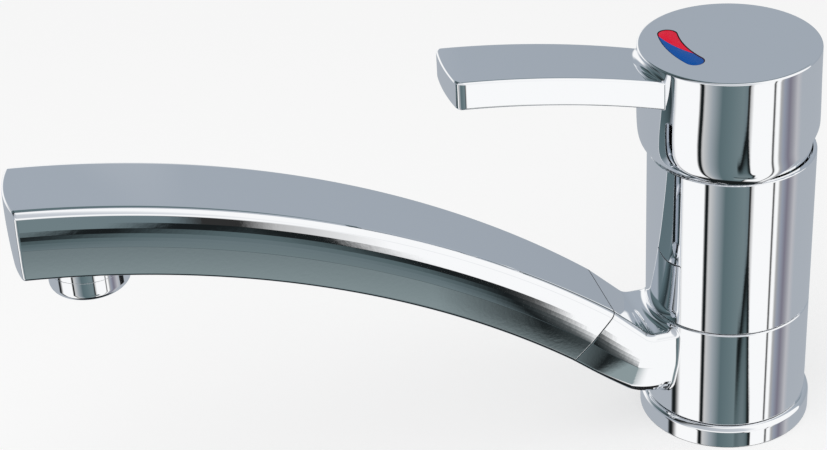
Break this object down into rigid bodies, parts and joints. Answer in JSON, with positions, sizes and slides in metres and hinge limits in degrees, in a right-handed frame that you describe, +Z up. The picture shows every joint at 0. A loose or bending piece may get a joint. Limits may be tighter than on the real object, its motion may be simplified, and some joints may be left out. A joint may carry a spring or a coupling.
{
  "type": "mixer tap",
  "caption": "Single-lever mixer tap: round body with a low arched swivel spout at its foot and a flat lever on a cap head with a red and blue index.",
  "frame": {"origin": "centre of the base ring's underside, on the deck plane and on the body's axis", "axes": "+Z up along the body's axis, square to the deck; -Y along the spout and the lever at rest; +X to the left of someone who faces the tap from the spout's side, where the cold inlet is"},
  "size_m": [0.054, 0.21, 0.1572],
  "materials": {
    "chrome": "polished plating on a brass casting",
    "white_plastic": "moulded",
    "dark_plastic": "moulded",
    "rubber": "smooth moulded",
    "ceramic": "lapped ceramic",
    "brass": "turned",
    "steel": "turned stainless steel",
    "red_enamel": "gloss inlay",
    "blue_enamel": "gloss inlay"
  },
  "bodies": {
    "tap_body_fixed": {"tap_body": "chrome", "cartridge_housing": "white_plastic", "cartridge_base": "white_plastic", "cartridge_seals": "rubber", "fixed_disc": "ceramic", "cartridge_nut": "brass", "upper_slide_ring": "dark_plastic", "lower_slide_ring": "dark_plastic", "swivel_o_rings": "rubber", "base_ring": "chrome", "deck_gasket": "rubber", "under_deck_gasket": "rubber", "clamp_washer": "steel", "back_nut": "brass"},
    "spindle_rotor": {"spindle_carrier": "white_plastic", "carrier_o_ring": "rubber", "pivot_pin": "steel"},
    "lever": {"lever_head": "chrome", "spindle": "steel", "index_red": "red_enamel", "index_blue": "blue_enamel", "grub_screw": "steel"},
    "disc_slider": {"disc_driver": "dark_plastic", "moving_disc": "ceramic"},
    "spout": {"swivel_collar": "chrome", "spout_tube": "chrome", "spout_spigot": "brass", "spout_joint_o_ring": "rubber", "spout_fixing_screw": "steel", "aerator_housing": "chrome", "aerator_insert": "white_plastic", "aerator_gasket": "rubber"}
  },
  "joints": [
    {"name": "lever_turn", "type": "hinge", "parent": "tap_body_fixed", "child": "spindle_rotor", "pos_m": [0, 0, 0.083], "axis": [0, 0, 1], "range_deg": [-50, 50]},
    {"name": "lever_lift", "type": "hinge", "parent": "spindle_rotor", "child": "lever", "pos_m": [0, 0, 0.083], "axis": [-1, 0, 0], "range_deg": [0, 20]},
    {"name": "disc_slide", "type": "slide", "parent": "spindle_rotor", "child": "disc_slider", "axis": [0, -1, 0], "range_m": [0, 0.00854]},
    {"name": "spout_swivel", "type": "hinge", "parent": "tap_body_fixed", "child": "spout", "pos_m": [0, 0, 0.02], "axis": [0, 0, 1], "continuous": true}
  ],
  "couplings": [
    {"joint": "disc_slide", "follows": "lever_lift", "m_per_rad": 0.024449}
  ]
}
